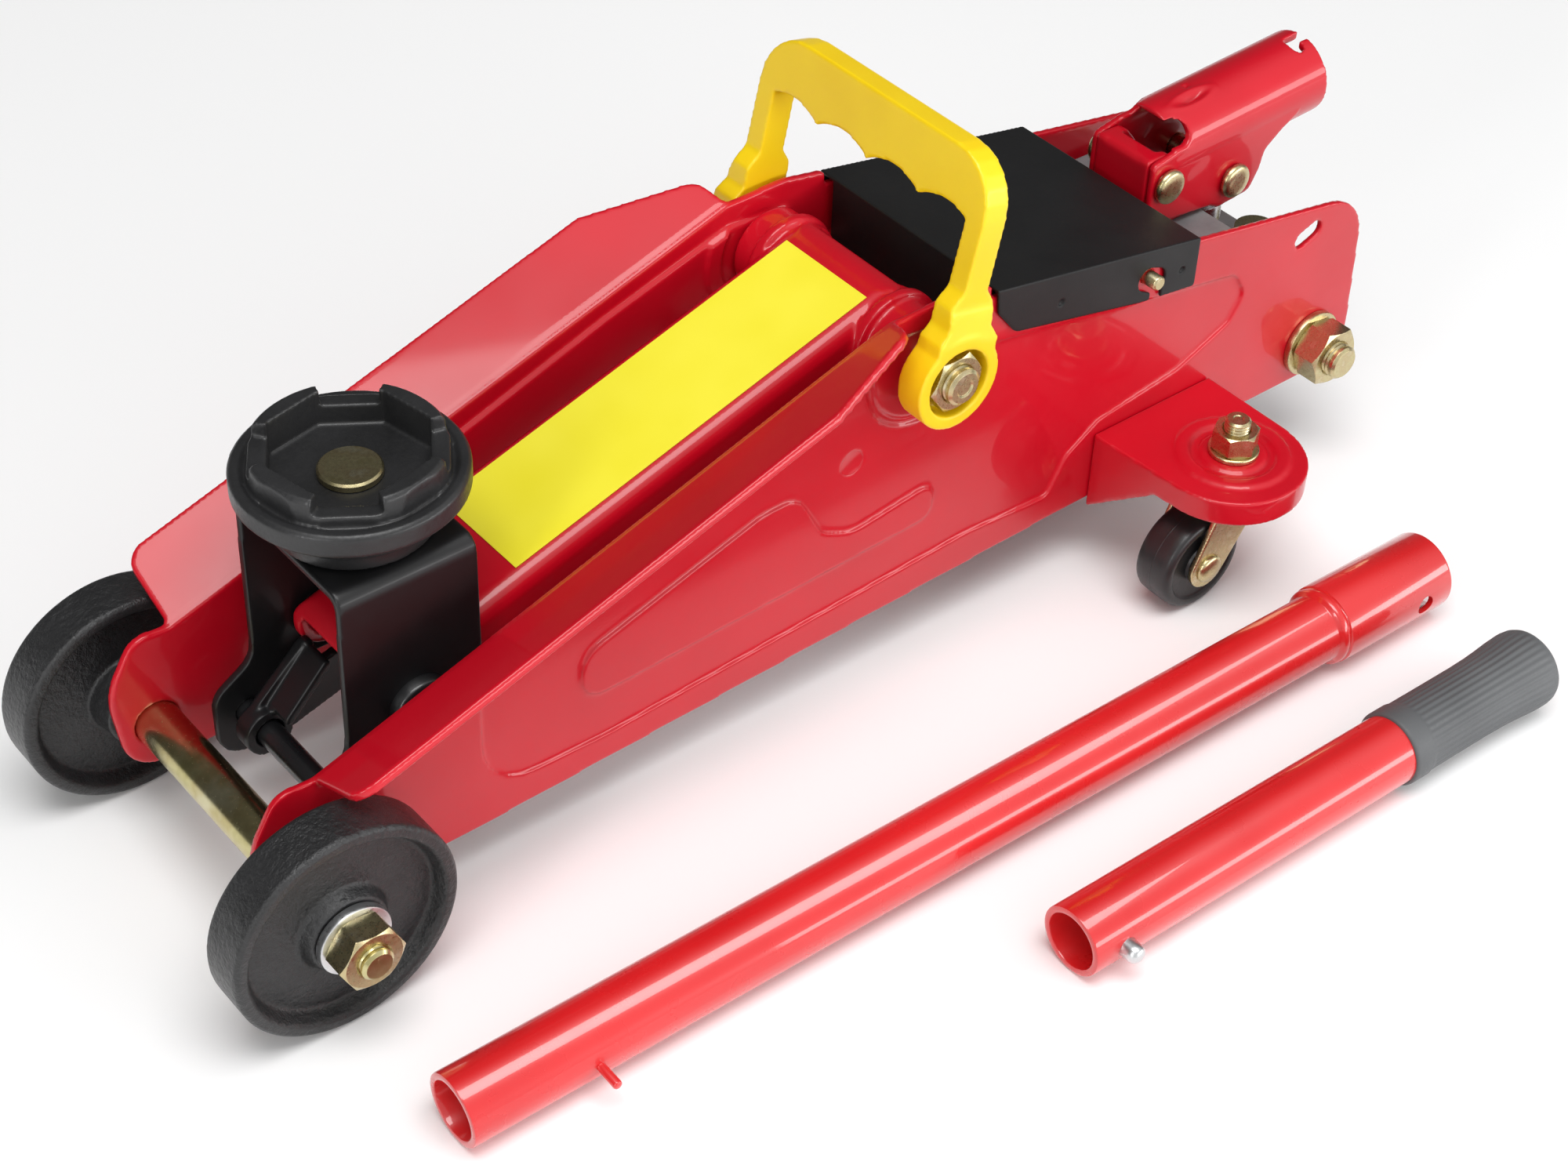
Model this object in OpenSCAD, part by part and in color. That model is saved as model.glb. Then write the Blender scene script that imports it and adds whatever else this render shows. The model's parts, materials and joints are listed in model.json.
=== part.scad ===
// Compact hydraulic trolley jack, two tonne class, with its two-piece pump handle lying beside it.
// +X points to the lifting end, +Y to the jack's left and +Z up; the floor is z = 0.
// The modules work with x = 0 at the front axle and y = 0 in the jack's middle plane.
// place() then moves the whole kit so that its origin is the middle of its own floor plan.

/* [Chassis] */
// Front axle to the rear edge of the side plates
plate_rear = 421; // [416:1:423]
// Middle plane to the inner face of a side plate
plate_in = 37; // [37:0.25:37.5]
// Steel thickness of a side plate
plate_t = 3; // [2.6:0.1:3.2]
// Width of the turned-out top flange
flange_w = 21.5; // [16:0.5:23]
// Angle of the flange above level, across the jack
flange_tilt = 24; // [10:1:30]
// Depth of the pressed panels
press_d = 1.5; // [0.8:0.1:1.6]

/* [Front wheels] */
// Radius of a front wheel
wheel_r = 35; // [33:0.5:35]
// Width of a front wheel
wheel_w = 16; // [14:0.5:17]
// Middle plane to the inner face of a front wheel
wheel_in = 50; // [49:0.5:52]
// Radius of the front axle
axle_r = 7; // [6:0.5:7]

/* [Casters] */
// Swivel axis behind the front axle
caster_back = 327.5; // [325:0.5:330]
// Middle plane to the swivel axis
caster_y = 74; // [74:0.25:74.5]
// Radius of a caster wheel
caster_r = 17.2; // [16.4:0.2:17.2]
// Swivel axis to the caster wheel's axle
caster_trail = 14.5; // [13:0.5:14.5]
// Height of the shelf that carries a caster
shelf_z = 51.5; // [50:0.5:53]

/* [Lift arm] */
// Arm pivot behind the front axle
pivot_back = 221.5; // [221:0.5:222]
// Height of the arm pivot
pivot_z = 113.5; // [113:0.5:114]
// Saddle pivot behind the front axle
nose_back = 49; // [48.5:0.5:49.5]
// Height of the saddle pivot with the jack down
nose_z = 63.5; // [63:0.5:64]
// Half width of the arm
arm_y = 23.5; // [22:0.5:23.5]
// Steel thickness of the arm
arm_t = 4; // [3:0.5:4]
// Arm pivot to the roller that the ram pushes
horn_r = 42; // [41:0.5:42]
// Angle of the horn behind straight down with the jack down
horn_angle = 40; // [39:0.5:41]

/* [Saddle] */
// Saddle axis behind the front axle
saddle_back = 49; // [48:0.5:50]
// Radius of the saddle's flange
saddle_r = 32.7; // [31:0.1:34]
// Height of the saddle's lugs with the jack down
saddle_z = 138.5; // [137:0.5:140]
// Half width of the saddle bracket
bracket_y = 27; // [26.8:0.1:28]

/* [Carry handle] */
// Height of the handle above its pivot
carry_h = 69; // [64:0.5:76]
// Half width of the handle
carry_y = 50.5; // [50:0.5:53]
// Backward lean of the resting handle
carry_lean = 12; // [0:1:20]

/* [Power unit] */
// Height of the ram
ram_z = 76; // [75:0.5:77]
// Radius of the ram
ram_r = 11; // [9:0.5:11]
// Radius of the oil reservoir
tank_r = 29.5; // [28:0.5:29.5]

/* [Pump handle] */
// Radius of the handle tubes
tube_r = 11.2; // [10.8:0.1:11.2]
// Wall of the handle tubes
tube_wall = 2.3; // [1.8:0.1:2.6]
// Length of the lower tube
lower_len = 374.5; // [370:0.5:376]
// Length of the upper tube with its grip
upper_len = 196; // [190:0.5:200]
// Middle plane to the front end of the lower tube
lower_y = 115.6; // [115.6:0.1:118]
// Middle plane to the front end of the upper tube
upper_y = 171.1; // [169:0.1:176]
// Turn of both tubes as they lie on the floor
tube_turn = 1.2; // [1:0.1:1.4]

/* [Hidden] */
$fn = 72;
red = "#c8202c";
black = "#1c1c1e";
gold = "#b09a55";
silver = "#b9bbbd";
yellow = "#f2d500";

plate_out = plate_in + plate_t;
wheel_out = wheel_in + wheel_w;
pivot = [-pivot_back, pivot_z];
nose = [-nose_back, nose_z];
// The levelling link is parallel to the arm: both its pins are offset from the arm's pins alike
link_offset = [26.5, -26.5];
link_rear = pivot + link_offset;
link_front = nose + link_offset;
horn = pivot + horn_r * [-sin(horn_angle), -cos(horn_angle)];
roller_r = 7.5;
// The ram follows the arm at a constant rate, so its pad starts a little clear of the roller
pad_gap = 1.3;
pad_x = horn.x - roller_r - pad_gap;
arm_rear_r = 14.6;
arm_front_r = 10.1;
arm_pitch = asin((pivot_z - nose_z) / norm(pivot - nose))
    + asin((arm_rear_r - arm_front_r) / norm(pivot - nose));
shaft_r = 7;
run = 0.06;                     // radial running clearance
bend_front = [-8, 67];          // the line along which the flange is turned out
bend_rear = [-207, 132.4];
bend_angle = atan((bend_rear.y - bend_front.y) / (bend_front.x - bend_rear.x));
bend_len = norm(bend_front - bend_rear);
tie = [-401, 45];
cover_front = -247;
cover_rear = -335;
cover_t = 1.2;
stud = [-313.6, 106.6];
// The socket's axis rises to the rear; this is the point on it 40 mm in front of the open end
socket_mid = [-380, 122.7];
socket_tilt = 3.4;
socket_len = 40;
socket_r = 14.3;
socket_bore = 11.5;
socket_pivot = [-346.5, 114.5];
pump_pin = [-378.5, 105];
collar_r = 13.3;
collar_len = 46.3;
grip_r = 13.2;
grip_len = 65.5;
lower_x = 2;
upper_x = -169.3;
button_reach = 5.4;
shelf_r = 25;
kit_x = (wheel_r + socket_mid.x - socket_len * cos(socket_tilt) - socket_r * sin(socket_tilt)) / 2;
kit_y = (upper_y + (upper_len - 5.5) * sin(tube_turn) + grip_r * cos(tube_turn)
    - (caster_y + shelf_r + 0.5)) / 2;

// ---- helpers ----

function unit(v) = v / norm(v);

// Points of the arc that rounds corner b, between a and c, to radius r
function fillet(a, b, c, r, n) = r <= 0 ? [b] :
    let (u = unit(a - b), v = unit(c - b), half = acos(u * v) / 2, mid = b + unit(u + v) * r / sin(half),
         from = b + u * r / tan(half) - mid, to = b + v * r / tan(half) - mid,
         start = atan2(from.y, from.x), turn = atan2(to.y, to.x) - start,
         sweep = turn > 180 ? turn - 360 : turn < -180 ? turn + 360 : turn)
    [for (i = [0:n]) mid + r * [cos(start + sweep * i / n), sin(start + sweep * i / n)]];

// An outline from corners given as [x, y, corner radius]
function rounded(p, n = 6) = let (m = len(p)) [for (i = [0:m - 1])
    each fillet([p[(i + m - 1) % m].x, p[(i + m - 1) % m].y], [p[i].x, p[i].y],
                [p[(i + 1) % m].x, p[(i + 1) % m].y], p[i][2], n)];

module place() translate([-kit_x, -kit_y, 0]) children();
module mirror_y() mirror([0, 1, 0]) children();
module both_sides() { children(); mirror_y() children(); }
// Extrudes an XZ outline between two y values
module across(y0, y1) translate([0, y1, 0]) rotate([90, 0, 0]) linear_extrude(y1 - y0) children();
// Extrudes a YZ outline between two x values
module along(x0, x1) translate([x0, 0, 0]) rotate([90, 0, 90]) linear_extrude(x1 - x0) children();
module bar_y(at, r, y0, y1) translate([at.x, y0, at.y]) rotate([-90, 0, 0]) cylinder(r = r, h = y1 - y0);
module bar_x(y, z, r, x0, x1) translate([x0, y, z]) rotate([0, 90, 0]) cylinder(r = r, h = x1 - x0);
module ring_y(at, r, bore, y0, y1) difference() {
    bar_y(at, r, y0, y1);
    bar_y(at, bore, y0 - 1, y1 + 1);
}
module hex_nut_y(at, flats, bore, y0, y1, turn = 0) difference() {
    translate([at.x, y0, at.y]) rotate([-90, turn, 0]) cylinder(r = flats / sqrt(3), h = y1 - y0, $fn = 6);
    bar_y(at, bore, y0 - 1, y1 + 1);
}
// A rounded shape about the Y axis through a point, from an outline of [radius, y]
module turned_y(at) translate([at.x, 0, at.y]) rotate([-90, 0, 0]) rotate_extrude() children();

// ---- chassis ----

// Each plate is pressed inwards over most of its face, except for a tongue that stays proud,
// and pressed in deeper along part of a ring about the arm's pivot
web = [[-60, 18.5, 0], [10, 19.5, 13], [14, 51, 22], [4, 68, 8], [bend_front.x, bend_front.y, 3],
    [bend_rear.x, bend_rear.y, 8], [-230, 133, 12], [-245.7, 130.2, 1.5], [-246, 126, 0.5],
    [-plate_rear + 4, 97.6, 20], [-plate_rear, 40, 8], [-398, 31, 6], [-370, 31, 40], [-300, 25.5, 60]];
panel = [[-61, 77, 6], [-61, 30.5, 18], [-104, 29.2, 40], [-245, 36.5, 40], [-280, 34.5, 4],
    [-287, 47.5, 8], [-300, 56, 3], [-335, 61, 10], [-357, 70.5, 6], [-363, 80, 6], [-357, 89.8, 7],
    [-236, 110.8, 5], [-232, 125, 5], [-207, 126.5, 6], [-160, 112, 20]];
tongue = [[-95, 46.2, 8], [-228.5, 51.4, 5], [-229, 64.8, 5], [-196, 60.5, 14], [-184, 66, 8],
    [-174, 84.5, 9], [-160, 83.8, 14], [-96.5, 64, 9]];

module pressing() difference() {
    polygon(rounded(panel));
    polygon(rounded(tongue));
}

flange_root = 2.2;
flange_len = (flange_w + flange_root) / cos(flange_tilt);
module flange() translate([bend_front.x, plate_out - flange_root, bend_front.y])
    rotate([0, bend_angle, 0]) rotate([flange_tilt, 0, 0]) translate([0, 0, -plate_t])
    linear_extrude(plate_t) polygon(rounded([[0, 0, 0], [-3, flange_len, 7], [-172, flange_len, 8],
        [-bend_len + 1.5, 12.5, 7], [-bend_len - 1, 0, 0]]));

module side_plate() difference() {
    union() {
        difference() {
            across(plate_in, plate_out) polygon(rounded(web));
            across(plate_out - press_d, plate_out + 1) pressing();
        }
        across(plate_in - press_d, plate_in + 0.5) offset(delta = -plate_t / 2) pressing();
        intersection() {
            ring_y(pivot, 23.5, 18.5, plate_in - press_d - 1.2, plate_in - press_d + 0.5);
            across(0, 60) offset(delta = -2.5) polygon(rounded(panel));
        }
        flange();
    }
    intersection() {
        ring_y(pivot, 22.7, 19.3, plate_out - press_d - 1.2, plate_out + 1);
        across(0, 60) offset(delta = -3.3) polygon(rounded(panel));
    }
    bar_y([0, wheel_r], axle_r, 0, 60);
    bar_y(pivot, shaft_r, 0, 60);
    bar_y(link_rear, 4, 0, 60);
    bar_y(tie, 6, 0, 60);
    bar_y(stud, 2.5, 0, 60);
    across(0, 60) hull() {
        translate([-388, 91]) circle(r = 3.2);
        translate([-393.5, 93]) circle(r = 3.2);
    }
}

module caster_plan(shrink = 0) hull() {
    translate([-caster_back + 1.5, caster_y + 0.5]) circle(r = shelf_r - shrink);
    translate([-caster_back - 23.5 + shrink, plate_out]) square([52.5 - 2 * shrink, 4]);
}

module caster_bracket() difference() {
    union() {
        translate([0, 0, shelf_z - 3]) linear_extrude(3) caster_plan();
        difference() {
            linear_extrude(shelf_z - 1) caster_plan();
            translate([0, 0, -1]) linear_extrude(shelf_z + 1) caster_plan(3);
            along(-360, -290) polygon([[plate_out - 1, -1], [110, -1], [110, 42.5], [67, 42.5],
                [plate_out - 1, 21]]);
        }
        translate([-caster_back, caster_y, shelf_z - 1]) cylinder(r = 18.5, h = 2);
    }
    translate([-caster_back, caster_y, shelf_z - 0.2]) difference() {
        cylinder(r = 14, h = 4);
        translate([0, 0, -1]) cylinder(r = 10.8, h = 6);
    }
    translate([-caster_back, caster_y, 30]) cylinder(r = 5, h = 40);
}

module side_plate_left() color(red) side_plate();
module side_plate_right() color(red) mirror_y() side_plate();
module caster_bracket_left() color(red) caster_bracket();
module caster_bracket_right() color(red) mirror_y() caster_bracket();

module front_axle() color(gold) {
    bar_y([0, wheel_r], axle_r, -wheel_out - 3, wheel_out + 3);
    bar_y([0, wheel_r], 5, -80.5, 80.5);
}

// Cast wheel: thin rims, dished faces and a hub that reaches in towards the side plate
module front_wheel() turned_y([0, wheel_r]) polygon([[axle_r + run, wheel_in - 6], [12, wheel_in - 6],
    [13, wheel_in + 4], [wheel_r - 6, wheel_in + 5], [wheel_r - 4.4, wheel_in + 1], [wheel_r - 3.6, wheel_in],
    [wheel_r - 1, wheel_in], [wheel_r, wheel_in + 1], [wheel_r, wheel_out - 1], [wheel_r - 1, wheel_out],
    [wheel_r - 3.6, wheel_out], [wheel_r - 4.4, wheel_out - 1], [wheel_r - 6, wheel_out - 5],
    [14, wheel_out - 4], [12, wheel_out], [axle_r + run, wheel_out]]);
module front_wheel_left() color(black) front_wheel();
module front_wheel_right() color(black) mirror_y() front_wheel();
module front_spacers() color(gold) both_sides() ring_y([0, wheel_r], 10, axle_r, plate_out, wheel_in - 6.3);
module front_washers() color(silver) both_sides() ring_y([0, wheel_r], 12, axle_r, wheel_out + 0.3, wheel_out + 3.2);
module front_nuts() color(gold) both_sides()
    hex_nut_y([0, wheel_r], 18, 5, wheel_out + 3.2, wheel_out + 12, 12);

module rear_tie_bolt() color(gold) bar_y(tie, 6, -57, 57);
module rear_tie_washers() color(gold) both_sides() ring_y(tie, 12, 6, plate_out, plate_out + 2.5);
module rear_tie_nuts() color(gold) both_sides() hex_nut_y(tie, 19, 6, plate_out + 2.5, plate_out + 12.5, 8);

// ---- casters ----

module at_caster() translate([-caster_back, caster_y, 0]) children();

module caster_bolts() color(gold) both_sides() at_caster() {
    translate([0, 0, 40.5]) cylinder(r = 7.3, h = 3.2);
    translate([0, 0, 40.5]) cylinder(r = 5, h = 13.5);
    translate([0, 0, 40.5]) cylinder(r = 4.2, h = 25);
}
module caster_washers() color(gold) both_sides() at_caster() translate([0, 0, shelf_z + 1]) difference() {
    cylinder(r = 8.3, h = 1.8);
    translate([0, 0, -1]) cylinder(r = 5, h = 4);
}
module caster_nuts() color(gold) both_sides() at_caster() translate([0, 0, shelf_z + 2.8]) difference() {
    rotate(14) cylinder(r = 13.6 / sqrt(3), h = 7.4, $fn = 6);
    translate([0, 0, -1]) cylinder(r = 4.2, h = 12);
}
fork_in = 7.7;
fork_out = 9.7;
module caster_fork() at_caster() difference() {
    union() {
        translate([0, 0, 44]) cylinder(r = 15, h = 2.4);
        translate([0, 0, 46]) cylinder(r = 11.5, h = shelf_z - 3.3 - 46);
        both_sides() across(fork_in, fork_out) hull() {
            translate([caster_trail, caster_r]) circle(r = 7.5);
            translate([-12, 44]) square([22, 2.4]);
        }
        translate([-12, -fork_out, 44]) cube([22, 2 * fork_out, 2.4]);
    }
    translate([0, 0, 40]) cylinder(r = 5 + run, h = 20);
    bar_y([caster_trail, caster_r], 3, -20, 20);
}
module caster_wheel() at_caster() turned_y([caster_trail, caster_r]) polygon([[3 + run, -7.2], [6, -7.2],
    [6.5, -6], [caster_r - 4, -6], [caster_r - 3.5, -7.2], [caster_r - 1.5, -7.2], [caster_r - 0.3, -5.5],
    [caster_r, -3], [caster_r, 3], [caster_r - 0.3, 5.5], [caster_r - 1.5, 7.2], [caster_r - 3.5, 7.2],
    [caster_r - 4, 6], [6.5, 6], [6, 7.2], [3 + run, 7.2]]);
module caster_rivet() at_caster() turned_y([caster_trail, caster_r]) polygon([[0, -11.7], [3.6, -11.7],
    [5, -10.6], [5, -fork_out], [3, -fork_out], [3, fork_out], [5, fork_out], [5, 10.6], [3.6, 11.7],
    [0, 11.7]]);
module caster_fork_left() color(gold) caster_fork();
module caster_fork_right() color(gold) mirror_y() caster_fork();
module caster_wheel_left() color(black) caster_wheel();
module caster_wheel_right() color(black) mirror_y() caster_wheel();
module caster_rivet_left() color(gold) caster_rivet();
module caster_rivet_right() color(gold) mirror_y() caster_rivet();

// ---- lift arm ----

module arm_side() {
    hull() {
        translate(pivot) circle(r = arm_rear_r);
        translate(nose) circle(r = arm_front_r);
    }
    hull() {
        translate(pivot) circle(r = 13);
        translate(horn) circle(r = 7.5);
    }
}

module lift_arm() color(red) difference() {
    union() {
        intersection() {
            across(-arm_y, arm_y) arm_side();
            // cross-section with rounded upper edges, running down the arm
            translate([pivot.x, 0, pivot.y]) rotate([0, arm_pitch, 0])
                along(-90, 220) difference() {
                    offset(r = 6) offset(delta = -6) translate([-arm_y, arm_rear_r - 80])
                        square([2 * arm_y, 80]);
                    translate([-arm_y + arm_t, arm_rear_r - 90]) offset(r = 3) offset(delta = -3)
                        square([2 * (arm_y - arm_t), 90 - arm_t]);
                }
        }
        both_sides() bar_y(pivot, arm_rear_r - 0.8, arm_y - arm_t, plate_in - press_d - 0.4);
        both_sides() bar_y(pivot, arm_rear_r + 1.2, arm_y - 0.5, arm_y + 3);
    }
    bar_y(pivot, shaft_r + run, -50, 50);
    bar_y(nose, 6 + run, -50, 50);
    bar_y(horn, 4, -50, 50);
}

module arm_label() color(yellow) translate([pivot.x, 0, pivot.y]) rotate([0, arm_pitch, 0])
    translate([2, -18.7, arm_rear_r]) cube([133, 37.4, 0.3]);

// The shaft's threaded ends are thinner, and their nuts sit in recesses in the carry handle
module arm_shaft() color(gold) union() {
    bar_y(pivot, shaft_r, -47.4, 47.4);
    bar_y(pivot, 6, -56.8, 56.8);
}
module arm_shaft_nuts() color(gold) both_sides() hex_nut_y(pivot, 17.4, 6, 47.6, 53.8, 20);
module horn_pin() color(silver) bar_y(horn, 4, -34.8, 34.8);
module horn_roller() color(silver) difference() {
    union() {
        bar_y(horn, roller_r, -9.4, 9.4);
        bar_y(horn, 5.6, -19.1, 19.1);
    }
    bar_y(horn, 4 + run, -20, 20);
}

// ---- levelling link, saddle bracket and saddle ----

// A single bar on the jack's right with an eye at each end, a raised front and a slanting plate
lug_foot = link_front + [-3.3, 8];
lug_tip = link_front + [-16.5, 22];
module levelling_link() color(black) difference() {
    union() {
        across(-19, -15.5) {
            hull() {
                translate(link_rear) circle(r = 6.4);
                translate(link_front) circle(r = 7.5);
            }
            hull() {
                translate(link_front) circle(r = 7);
                translate(lug_tip) circle(r = 2.2);
            }
        }
        across(-18.7, -5) hull() {
            translate(lug_foot) circle(r = 1.5);
            translate(lug_tip) circle(r = 1.5);
        }
        bar_y(link_rear, 6.6, -18.9, -12);
        bar_y(link_front, 7.7, -18.9, -12);
    }
    bar_y(link_rear, 4 + run, -30, 30);
    bar_y(link_front, 4.6, -30, 30);
}
module link_rear_pin() color(silver) bar_y(link_rear, 4, -plate_out + press_d, plate_out - press_d);
module link_front_rod() color(black) union() {
    bar_y(link_front, 4, -30.5, 30.5);
    both_sides() bar_y(link_front, 6.5, bracket_y, bracket_y + 3.5);
}

bracket_top = 112;
bracket_t = 3;
cheek = [[-27, bracket_top + 6, 0], [-71, bracket_top + 6, 0], [-71, 54, 8], [-60, 47.5, 8],
    [-42, 47.5, 5], [-35, 38, 5], [-35, 24, 9], [-23, 22, 8], [-12, 24, 9], [-12, 46, 8], [-26, 55, 9]];
module saddle_bracket() color(black) difference() {
    intersection() {
        across(-bracket_y, bracket_y) polygon(rounded(cheek));
        along(-80, 0) difference() {
            offset(r = 5) offset(delta = -5) translate([-bracket_y, 0]) square([2 * bracket_y, bracket_top]);
            translate([-bracket_y + bracket_t, -10]) offset(r = 2.5) offset(delta = -2.5)
                square([2 * (bracket_y - bracket_t), bracket_top + 10 - bracket_t]);
        }
    }
    bar_y(nose, 6, -40, 40);
    bar_y(link_front, 4, -40, 40);
    translate([-saddle_back, 0, 90]) cylinder(r = 7, h = 40);
}
module saddle_pivot_pin() color(black) union() {
    bar_y(nose, 6, -30, 30);
    both_sides() turned_y(nose) polygon([[0, bracket_y], [9.5, bracket_y], [9.5, bracket_y + 3.2],
        [8.5, bracket_y + 4.2], [0, bracket_y + 4.2]]);
}

// Cast saddle: cone, flange, and an eight-sided ring with four lugs and four notches
cup_floor = saddle_z - 11;
lug_h = 4.6;
lug_angle = 12;
module saddle() color(black) translate([-saddle_back, 0, 0]) difference() {
    union() {
        rotate_extrude() polygon([[7 + run, bracket_top + 0.4], [23, bracket_top + 0.4],
            [24, saddle_z - 21], [saddle_r - 1.5, saddle_z - 15], [saddle_r, saddle_z - 13.5],
            [saddle_r, saddle_z - 8], [saddle_r - 1, saddle_z - 7], [saddle_r - 3, saddle_z - 7],
            [saddle_r - 4.5, saddle_z - 8.2], [24, saddle_z - 8.2], [24, cup_floor], [7 + run, cup_floor]]);
        intersection() {
            rotate_extrude() polygon([[21, cup_floor - 1], [28.4, cup_floor - 1], [28, saddle_z - 6],
                [27.6, saddle_z - 1.2], [26.6, saddle_z], [21, saddle_z]]);
            rotate(lug_angle + 22.5) translate([0, 0, cup_floor - 2]) cylinder(r = 29.3, h = 20, $fn = 8);
        }
    }
    translate([0, 0, cup_floor]) rotate(lug_angle + 22.5) cylinder(r = 23.6, h = 20, $fn = 8);
    for (a = [0:90:270]) rotate(lug_angle + a + 25) translate([0, 0, saddle_z - lug_h])
        rotate_extrude(angle = 40) translate([19, 0]) square([12, 10]);
}
module saddle_rivet() color(gold) translate([-saddle_back, 0, 0]) rotate_extrude() polygon([[0, 105],
    [9, 105], [9, bracket_top - bracket_t], [7, bracket_top - bracket_t], [7, cup_floor + 0.3],
    [9.1, cup_floor + 0.3], [9.1, cup_floor + 1.9], [8.5, cup_floor + 2.5], [0, cup_floor + 2.5]]);

// ---- power unit between the side plates ----

gland_x = -262;
cylinder_x = -332;
block_top = 96.5;
pump_x = pump_pin.x;

module base_block() color(silver) difference() {
    union() {
        translate([-368, -plate_in + press_d + 0.3, 36])
            cube([368 + cylinder_x, 2 * (plate_in - press_d - 0.3), block_top - 36]);
        translate([-411, -plate_in, 36]) cube([41, 2 * plate_in, 30]);
        translate([-372, -plate_in + press_d + 0.3, 36]) cube([6, 2 * (plate_in - press_d - 0.3), 30]);
    }
    bar_y(tie, 6, -50, 50);
    bar_x(0, ram_z, 17, -352, -300);
    translate([pump_x, 0, 46]) cylinder(r = 8, h = 60);
    translate([-402, 9, 52]) cylinder(r = 4.5 + run, h = 30);
    translate([-398, -15, 52]) cylinder(r = 4, h = 30);
}
module main_cylinder() color(silver) difference() {
    bar_x(0, ram_z, 22, cylinder_x, gland_x);
    bar_x(0, ram_z, 17, cylinder_x - 1, gland_x + 1);
}
module cylinder_gland() color(silver) difference() {
    union() {
        bar_x(0, ram_z, 17, gland_x - 10, gland_x);
        bar_x(0, ram_z, 20, gland_x, gland_x + 3);
    }
    bar_x(0, ram_z, ram_r + run, gland_x - 20, gland_x + 10);
}
module reservoir() color(red) difference() {
    union() {
        bar_x(0, ram_z, tank_r, cylinder_x, gland_x - 6);
        translate([-300, 0, ram_z + 20]) cylinder(r = 8, h = tank_r - 18);
    }
    bar_x(0, ram_z, tank_r - 2, cylinder_x - 1, gland_x - 8.5);
    bar_x(0, ram_z, 22, cylinder_x - 1, gland_x + 1);
    translate([-300, 0, ram_z + 24]) cylinder(r = 4.5, h = 20);
}
module ram() color(silver) union() {
    bar_x(0, ram_z, ram_r, -330, pad_x - 6);
    bar_x(0, ram_z, 16.9, -330, -318);
}
module ram_pad() color(silver) bar_x(0, ram_z, ram_r - 0.4, pad_x - 6, pad_x);
module pump_barrel() color(silver) difference() {
    union() {
        translate([pump_x, 0, 46]) cylinder(r = 8, h = 30);
        translate([pump_x, 0, 66]) rotate(30) cylinder(r = 18 / sqrt(3), h = 12, $fn = 6);
        translate([pump_x, 0, 77]) cylinder(r = 9, h = 14);
    }
    translate([pump_x, 0, 48]) cylinder(r = 6 + run, h = 60);
}
module pump_piston() color(silver) difference() {
    union() {
        translate([pump_x, 0, 50]) cylinder(r = 6, h = 45);
        across(-6, 6) hull() {
            translate([pump_x, 95]) square([10, 1], center = true);
            translate(pump_pin) square([17, 4], center = true);
            translate(pump_pin + [0, 2]) circle(r = 6.5);
        }
    }
    across(-10, 10) hull() for (s = [-1, 1]) translate(pump_pin + [s * 2.2, 0]) circle(r = 4.5);
}
module release_valve() color(gold) difference() {
    union() {
        translate([-402, 9, 52.5]) cylinder(r = 4.5, h = 15);
        translate([-402, 9, 66.4]) cylinder(r = 7.5, h = 8);
    }
    translate([-411, 7.6, 71.5]) cube([18, 2.8, 5]);
}
module relief_screw() color(silver) union() {
    translate([-398, -15, 52]) cylinder(r = 4, h = 15);
    translate([-398, -15, 66]) cylinder(r = 13 / sqrt(3), h = 5, $fn = 6);
}
module filler_plug() color(black) union() {
    translate([-300, 0, ram_z + 24.5]) cylinder(r = 4.5, h = 8);
    translate([-300, 0, ram_z + tank_r + 2]) cylinder(r = 7, h = 3);
}
spring_y = 32.8;
module return_springs() color(silver) both_sides() difference() {
    bar_x(spring_y, horn.y, 2.4, -321.5, horn.x - 4.6);
    bar_x(spring_y, horn.y, 1.3, -322, horn.x - 4);
}
module spring_anchors() color(silver) both_sides() bar_y([-324.5, horn.y], 3, 30.8, plate_in - press_d);

// ---- cover ----

// Height of the cover's top face: it slopes down to the rear with the side plates
function cover_z(x) = 128.7 + (x - cover_front) * 0.1757;
module cover() color(black) difference() {
    union() {
        across(-plate_out - cover_t - 0.2, plate_out + cover_t + 0.2) polygon([[cover_front, cover_z(cover_front)],
            [cover_rear, cover_z(cover_rear)], [cover_rear, cover_z(cover_rear) - cover_t],
            [cover_front, cover_z(cover_front) - cover_t]]);
        both_sides() across(plate_out + 0.2, plate_out + cover_t + 0.2) polygon(rounded([
            [cover_front, cover_z(cover_front), 0], [cover_rear, cover_z(cover_rear), 0],
            [cover_rear, 95.2, 1], [-310, 98.6, 1], [-256, 110.2, 5], [cover_front - 1, 120, 3]]));
        translate([cover_front - cover_t, -plate_in + press_d + 0.4, 101])
            cube([cover_t, 2 * (plate_in - press_d - 0.4), cover_z(cover_front) - cover_t / 2 - 101]);
    }
    // keyhole that hooks over the stud
    across(-60, 60) {
        hull() {
            translate([-312.8, 106.2]) circle(r = 4.2);
            translate([-316, 104.8]) circle(r = 4.4);
        }
        translate([-319.5, 90]) square([5, 15]);
    }
    for (x = [-274.5, -328]) both_sides() bar_y([x, cover_z(x) - 10.5], 1.2, plate_out + 0.6, plate_out + 3);
}
module cover_screws() color(gold) both_sides() turned_y(stud) polygon([[0, plate_in - 1], [4, plate_in - 1],
    [4, plate_in], [2.5, plate_in], [2.5, plate_out + 5], [2, plate_out + 5.6], [0, plate_out + 5.6]]);

// ---- handle socket ----

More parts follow.
